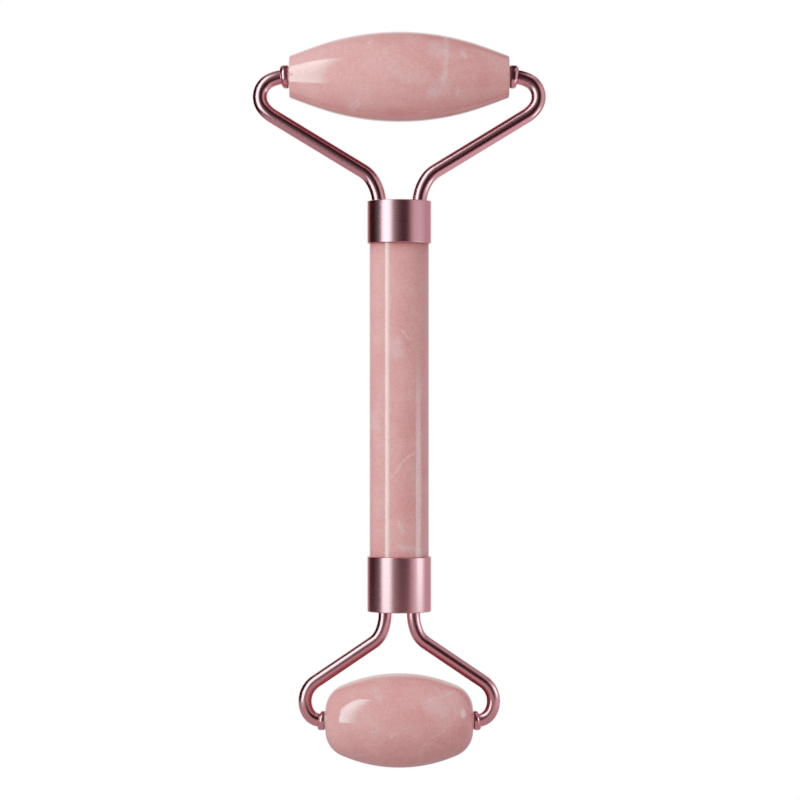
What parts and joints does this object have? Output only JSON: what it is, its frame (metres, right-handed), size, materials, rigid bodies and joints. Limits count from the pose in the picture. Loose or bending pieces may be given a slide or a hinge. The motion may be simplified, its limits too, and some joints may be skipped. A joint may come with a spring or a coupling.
{
  "type": "facial massage roller",
  "caption": "Double-ended facial massage roller: a round pink stone handle with a long tapered stone roller at one end and a short barrel-shaped stone roller at the other, each spinning in a bent wire frame.",
  "frame": {"origin": "middle of the handle, on its axis", "axes": "+Z along the handle towards the long roller; X along both rollers' axes; Y square to the flat plane in which the wire frames lie"},
  "size_m": [0.0578, 0.0186, 0.1447],
  "materials": {
    "pink_stone": "polished",
    "satin_rose_gold": "satin",
    "polished_rose_gold": "polished",
    "nylon": "satin",
    "steel": "satin",
    "epoxy": "gloss"
  },
  "bodies": {
    "handle": {"handle_stone": "pink_stone", "large_end_cap": "satin_rose_gold", "large_stud": "steel", "large_stud_epoxy": "epoxy", "large_arm_left": "polished_rose_gold", "large_arm_right": "polished_rose_gold", "large_collar_left": "polished_rose_gold", "large_collar_right": "polished_rose_gold", "small_end_cap": "satin_rose_gold", "small_stud": "steel", "small_stud_epoxy": "epoxy", "small_arm_left": "polished_rose_gold", "small_arm_right": "polished_rose_gold", "small_collar_left": "polished_rose_gold", "small_collar_right": "polished_rose_gold"},
    "large_roller": {"large_roller_stone": "pink_stone", "large_bush_left": "nylon", "large_bush_right": "nylon"},
    "small_roller": {"small_roller_stone": "pink_stone", "small_bush_left": "nylon", "small_bush_right": "nylon"}
  },
  "joints": [
    {"name": "large_roller_spin", "type": "hinge", "parent": "handle", "child": "large_roller", "pos_m": [0, 0, 0.06359], "axis": [1, 0, 0], "continuous": true},
    {"name": "small_roller_spin", "type": "hinge", "parent": "handle", "child": "small_roller", "pos_m": [0, 0, -0.06305], "axis": [1, 0, 0], "continuous": true}
  ]
}
